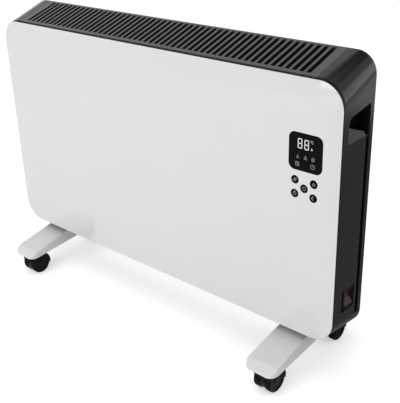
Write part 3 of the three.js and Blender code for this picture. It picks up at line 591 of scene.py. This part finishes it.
makeDigits()
makeSigns("display_units", unitPlaces, litUnits)
makeSigns("display_icons", iconPlaces, litIcons)
makeSigns("key_signs", keySignPlaces, keySigns)
print("marks made")


# ---- housing

for node, material, slotName in (
    ("top_grille", grillePlastic, "black_plastic"),
    ("bottom_grille", railPlastic, "black_plastic"),
    ("end_cap_left", capPlastic, "black_plastic"),
    ("end_cap_right", capPlastic, "black_plastic"),
    ("switch_body", switchPlastic, "black_plastic"),
    ("switch_rocker", rockerPlastic, "rocker_plastic"),
    ("back_panel", blackSteel, "black_steel"),
    ("cord_gland", railPlastic, "black_plastic"),
):
    dressed(node, material)
print("housing dressed")


# ---- feet

foot = {
    "x": 0.3155, "length": 0.26, "topHalf": 0.028, "lowHalf": 0.0315, "tipRadius": 0.016,
    "top": 0.0785, "shoulder": 0.023, "slope": 0.2225, "wall": 0.0026, "edge": 0.0016, "edgeSteps": 4,
    "edgeShare": 0.6, "leastRise": 0.0002, "leastStep": 0.0001, "cornerStep": 10, "creaseAngle": 19,
    "nose": ((0.1145, 0.0), (0.1218, 0.0049), (0.1271, 0.0097), (0.1295, 0.0130), (0.13, 0.0135)),
    "skirtMiddle": 0.0553, "skirtTip": 0.04434, "padHalf": 0.0174, "padTop": 0.0832, "padInset": 0.001,
    "padSink": 0.002, "bossRadius": 0.0085, "bossLow": 0.0513, "bossSink": 0.0008, "bossSegments": 32,
    "castorX": 0.0025, "castorY": 0.0956, "seatRadius": 0.0072, "seatY": 0.011, "seatLow": 0.0725,
}


def footTop(y):
    # height of the ridge: level, then a slope, then the nose
    points = [(foot["shoulder"], foot["top"])]
    noseTop = foot["top"] - foot["slope"] * (foot["nose"][0][0] - foot["shoulder"])
    points += [(along, noseTop - drop) for along, drop in foot["nose"]]
    for (y0, z0), (y1, z1) in zip(points, points[1:]):
        if y0 <= y <= y1:
            return z0 + (z1 - z0) * (y - y0) / (y1 - y0)
    return foot["top"]


def footHalf(y, z):
    # half width in plan, wider below
    share = (z - foot["skirtTip"]) / (frontGlass["low"] - foot["skirtTip"])
    taper = 1 - share * (1 - foot["topHalf"] / foot["lowHalf"])
    into = max(0, y - foot["length"] / 2 + foot["tipRadius"])
    corner = foot["tipRadius"] - math.sqrt(max(0, foot["tipRadius"] ** 2 - into ** 2))
    return (foot["lowHalf"] - corner) * taper


def footSection(bm, y):
    # one cross-section as a chain of edges, from the left skirt over the top to the right
    away = abs(y)
    ridge = footTop(away)
    low = foot["skirtMiddle"] + (foot["skirtTip"] - foot["skirtMiddle"]) * away / (foot["length"] / 2)
    low = min(low, ridge - foot["leastRise"])
    edge = min(foot["edge"], (ridge - low) * foot["edgeShare"])
    half = footHalf(away, ridge)
    rightSide = [(footHalf(away, low), low)]
    for step in range(foot["edgeSteps"] + 1):
        angle = math.radians(90 * step / foot["edgeSteps"])
        rightSide.append((half - edge + edge * math.cos(angle), ridge - edge + edge * math.sin(angle)))
    chain = [(-x, z) for x, z in rightSide] + rightSide[::-1]
    verts = [bm.verts.new((x, y, z)) for x, z in chain]
    return [bm.edges.new(pair) for pair in zip(verts, verts[1:])]


def footPlaces():
    # where the cross-sections stand: at the bends of the ridge and round the corners in plan
    start = foot["length"] / 2 - foot["tipRadius"]
    step = foot["cornerStep"]
    corner = [start + foot["tipRadius"] * math.sin(math.radians(a)) for a in range(step, 90, step)]
    places = sorted({0, foot["shoulder"], *[y for y, drop in foot["nose"]], *corner})
    places = [y for i, y in enumerate(places) if i == 0 or y - places[i - 1] > foot["leastStep"]]
    return [-y for y in places[:0:-1]] + places


def makeFoot(side):
    bm = bmesh.new()
    sections = [footSection(bm, y) for y in footPlaces()]
    for one, two in zip(sections, sections[1:]):
        bmesh.ops.bridge_loops(bm, edges=one + two)
    bmesh.ops.recalc_face_normals(bm, faces=bm.faces[:])
    if sum(f.normal.z * f.calc_area() for f in bm.faces) < 0:
        bmesh.ops.reverse_faces(bm, faces=bm.faces[:])
    bmesh.ops.solidify(bm, geom=bm.faces[:], thickness=foot["wall"])
    # the pad under the housing, and the castor seats and screw seats inside the shell
    padLow = foot["top"] - foot["padSink"]
    pad = bmesh.ops.create_cube(bm, size=1)["verts"]
    padSize = (2 * (foot["topHalf"] - foot["padInset"]), 2 * foot["padHalf"], foot["padTop"] - padLow)
    bmesh.ops.scale(bm, vec=padSize, verts=pad)
    bmesh.ops.translate(bm, vec=(0, 0, (foot["padTop"] + padLow) / 2), verts=pad)
    for x, y, radius, low in ((foot["castorX"], foot["castorY"], foot["bossRadius"], foot["bossLow"]),
                              (0, foot["seatY"], foot["seatRadius"], foot["seatLow"])):
        high = footTop(y) - foot["bossSink"] - foot["slope"] * radius * (y > foot["shoulder"])
        for end in (-1, 1):
            boss = cylinder(bm, radius, high - low, foot["bossSegments"])
            bmesh.ops.translate(bm, vec=(x, end * y, (high + low) / 2), verts=boss)
    bmesh.ops.translate(bm, vec=(foot["x"] if side == "right" else -foot["x"], 0, 0), verts=bm.verts)
    keepPiece(f"foot_shell_{side}", bm, "heater", [footPlastic], [f"foot_{side}"],
              foot["creaseAngle"])


for side in ("left", "right"):
    makeFoot(side)
print("feet made")


# ---- castors

castor = {
    "radius": 0.0214, "width": 0.035, "wheel": 0.0125, "trail": 0.004, "boreDepth": 0.0085,
    "treadFrom": 0.0204, "segments": 72, "wheelAngle": 28, "hood": 0.0246, "hoodWall": 0.0022,
    "hoodRound": 0.0014, "roundSteps": 4, "hoodSweep": 152, "hoodSteps": 36, "hoodAngle": 30, "lip": 0.006,
    "webHalf": 0.0047, "webRadius": 0.0198, "webFlat": 0.0082, "webSegments": 64,
    "neck": 0.006, "neckTop": 0.051, "neckSink": 0.001, "neckSegments": 32,
}
# radius and distance from the wheel's inner side: from the bore out over the tread, then in over the
# dished face
wheelProfile = (
    (0.0023, 0), (0.0185, 0), (0.0199, 0.0002), (0.0209, 0.0007), (0.0214, 0.0017),
    (0.0214, 0.0062), (0.0214, 0.0108), (0.0209, 0.0118), (0.0199, 0.0124), (0.0189, 0.0125),
    (0.0180, 0.0124), (0.0177, 0.0121), (0.0175, 0.0114), (0.0171, 0.0111), (0.0146, 0.0110),
    (0.0143, 0.0114), (0.0135, 0.0114), (0.0132, 0.0110), (0.0106, 0.0110), (0.0103, 0.0114),
    (0.0095, 0.0114), (0.0092, 0.0110), (0.0070, 0.0110), (0.0066, 0.0118), (0.0060, 0.0124),
    (0.0040, 0.0125), (0.0002, 0.0125),
)


def toAxle(bm, x, y):
    # from the origin to the axle of the castor whose stem is at x, y
    bmesh.ops.translate(bm, vec=(x, y - castor["trail"], castor["radius"]), verts=bm.verts)


def makeWheel(label, x, y, side):
    bm = bmesh.new()
    inner = castor["width"] / 2 - castor["wheel"]
    profile = [(wheelProfile[0][0], castor["boreDepth"]), *wheelProfile]
    verts = [bm.verts.new((inner + across, radius, 0)) for radius, across in profile]
    edges = [bm.edges.new(pair) for pair in zip(verts, verts[1:])]
    bmesh.ops.spin(bm, geom=verts + edges, cent=(0, 0, 0), axis=(1, 0, 0), angle=math.radians(360),
                   steps=castor["segments"], use_merge=True, use_duplicate=False)
    bmesh.ops.holes_fill(bm, edges=[e for e in bm.edges if e.is_boundary], sides=0)
    if side == "left":
        bmesh.ops.scale(bm, vec=(-1, 1, 1), verts=bm.verts)
    bmesh.ops.recalc_face_normals(bm, faces=bm.faces[:])
    for face in bm.faces:
        middle = face.calc_center_median()
        if math.hypot(middle.y, middle.z) > castor["treadFrom"]:
            face.material_index = 1
    toAxle(bm, x, y)
    node = f"castor_{label}_wheel_{side}"
    keepPiece(f"twin_wheel_{label}_{side}", bm, node, [castorPlastic, treadRubber], [node],
              castor["wheelAngle"])


def makeHood(label, x, y):
    # an arched cover, a round web between the wheels with a flat block over it, and the stem's neck
    bm = bmesh.new()
    outer, inner = castor["hood"], castor["hood"] - castor["hoodWall"]
    section = rectangle(bm, castor["width"], outer - inner)
    rounded(bm, [v for v in section if v.co.y > 0], castor["hoodRound"], castor["roundSteps"], "VERTICES")
    bmesh.ops.translate(bm, vec=(0, (outer + inner) / 2, 0), verts=bm.verts)
    low = math.asin(castor["lip"] / outer)
    bmesh.ops.rotate(bm, cent=(0, 0, 0), matrix=Matrix.Rotation(-low, 3, "X"), verts=bm.verts)
    bmesh.ops.spin(bm, geom=bm.verts[:] + bm.edges[:] + bm.faces[:], cent=(0, 0, 0), axis=(1, 0, 0),
                   angle=math.radians(castor["hoodSweep"]) + low, steps=castor["hoodSteps"], use_merge=False,
                   use_duplicate=False)
    bmesh.ops.recalc_face_normals(bm, faces=bm.faces[:])
    for radius, lowest in ((castor["webRadius"], -castor["webRadius"]),
                           (outer - castor["hoodWall"] / 2, castor["webFlat"])):
        disc = cylinder(bm, radius, 2 * castor["webHalf"], castor["webSegments"])
        bmesh.ops.rotate(bm, cent=(0, 0, 0), matrix=Matrix.Rotation(math.radians(90), 3, "Y"), verts=disc)
        for v in disc:
            v.co.z = max(v.co.z, lowest)
    neckHigh = castor["neckTop"] - castor["radius"]
    neckLow = inner - castor["neckSink"]
    neck = cylinder(bm, castor["neck"], neckHigh - neckLow, castor["neckSegments"])
    bmesh.ops.translate(bm, vec=(0, castor["trail"], (neckHigh + neckLow) / 2), verts=neck)
    toAxle(bm, x, y)
    body = f"castor_{label}"
    keepPiece(f"castor_cover_{label}", bm, body, [castorPlastic], [f"{body}_hood"],
              castor["hoodAngle"])


for end, y in (("front", -foot["castorY"]), ("rear", foot["castorY"])):
    for side, x in (("left", -foot["x"] + foot["castorX"]), ("right", foot["x"] + foot["castorX"])):
        label = f"{end}_{side}"
        makeHood(label, x, y)
        for wheelSide in ("left", "right"):
            makeWheel(label, x, y, wheelSide)
print("castors made")

# nodes that are shown as they come from the CAD
carried = {
    "front_plate": blackSteel, "control_board": boardGreen, "power_board": boardGreen,
    "display_module": displayGlass, "heat_baffle": brightSheet, "heating_element": brightSheet,
    "thermal_cutout": bakelite, "tilt_switch": bakelite,
    "element_bracket_left": zincSteel, "element_bracket_right": zincSteel,
}
for name, item in nodes.items():
    material = carried.get(name)
    if "screw" in name or name.endswith(("stem", "axle")):
        material = zincSteel
    if material:
        item.data.materials.clear()
        item.data.materials.append(material)
print("carried nodes finished")


# ---- stage

floorLook = {"half": 8, "colour": (0.93, 0.93, 0.94, 1), "roughness": 0.9, "lift": 0.46}
worldLook = {"light": (0.99, 0.99, 1.0, 1), "strength": 0.56}
white = (1, 1, 1, 1)
lamps = {
    "overhead": {"place": (-0.3, -0.45, 2.6), "target": (0, 0, 0.2), "size": (2.4, 1.8), "power": 14},
    "front": {"place": (-0.3, -2.9, 0.9), "target": (0, 0, 0.3), "size": (2.0, 1.5), "power": 29},
    "corner": {"place": (1.60, 1.21, 1.12), "target": (0.39, 0, 0.53), "size": (0.6, 1.0), "power": 4.2},
}
# dark cards that paint reflections: the floor card darkens the reflection on the right end cap's side, and
# the upper card paints the dark stripe on its top corner; shade is how bright each card shows in those
# reflections
paintedReflectionCards = {
    "floorCard": {"place": (0.875, 0.6, 0.004), "target": (0.875, 0.6, 1), "size": (1.35, 1.3),
                  "shade": 0.22},
    "upperCard": {"place": (0.36, 1.2, 2.45), "target": (0.36, 1.2, 0), "size": (1.45, 0.75),
                  "shade": 0.0},
}


def plainMaterial(name, colour, roughness=0.5):
    # no highlights, and a white glow whose strength is set later
    material = bpy.data.materials.new(name)
    material.use_nodes = True
    shader = material.node_tree.nodes["Principled BSDF"]
    shader.inputs["Base Color"].default_value = colour
    shader.inputs["Roughness"].default_value = roughness
    shader.inputs["Specular IOR Level"].default_value = 0.0
    shader.inputs["Emission Color"].default_value = white
    return material, shader.inputs["Emission Strength"]


def seenByEye(tree):
    # 1 for rays that show the surface to the camera, in a mirror or through glass
    path = tree.nodes.new("ShaderNodeLightPath")
    seen = mathNode(tree, "MAXIMUM", path.outputs["Is Camera Ray"], path.outputs["Is Glossy Ray"])
    return mathNode(tree, "MAXIMUM", seen, path.outputs["Is Transmission Ray"])


def aim(item, place, target):
    item.location = place
    item.rotation_euler = (Vector(target) - Vector(place)).to_track_quat("-Z", "Y").to_euler()


def makeStage():
    bm = bmesh.new()
    rectangle(bm, 2 * floorLook["half"], 2 * floorLook["half"])
    material, glow = plainMaterial("paleFloor", floorLook["colour"], floorLook["roughness"])
    tree = material.node_tree
    tree.links.new(mathNode(tree, "MULTIPLY", seenByEye(tree), floorLook["lift"]), glow)
    floor = newItem("floor", bm, [material])


def makeWorld():
    # a soft light all round, seen as plain white
    world = bpy.data.worlds.new("studio")
    scene.world = world
    world.use_nodes = True
    tree = world.node_tree
    tree.nodes.clear()
    mix = tree.nodes.new("ShaderNodeMixShader")
    tree.links.new(seenByEye(tree), mix.inputs[0])
    for socket, colour, strength in ((mix.inputs[1], worldLook["light"], worldLook["strength"]),
                                     (mix.inputs[2], white, 1.0)):
        background = tree.nodes.new("ShaderNodeBackground")
        background.inputs["Color"].default_value = colour
        background.inputs["Strength"].default_value = strength
        tree.links.new(background.outputs[0], socket)
    out = tree.nodes.new("ShaderNodeOutputWorld")
    tree.links.new(mix.outputs[0], out.inputs["Surface"])


def makeLamp(name, place, target, size, power):
    data = bpy.data.lights.new(name, "AREA")
    data.shape = "RECTANGLE"
    data.size, data.size_y = size
    data.energy = power
    lamp = bpy.data.objects.new(name, data)
    scene.collection.objects.link(lamp)
    aim(lamp, place, target)


def makePaintedReflectionCard(name, place, target, size, shade):
    # a dark card that only reflections see: it paints dark reflections on the glossy housing and casts no
    # shadow
    bm = bmesh.new()
    rectangle(bm, *size)
    material, glow = plainMaterial(name, (0, 0, 0, 1))
    glow.default_value = shade
    card = newItem(name, bm, [material])
    aim(card, place, target)
    for ray in ("camera", "diffuse", "shadow", "transmission", "volume_scatter"):
        setattr(card, "visible_" + ray, False)


makeStage()
makeWorld()
for name, setup in lamps.items():
    makeLamp(name, **setup)
for name, setup in paintedReflectionCards.items():
    makePaintedReflectionCard(name, **setup)

print("scene ready")
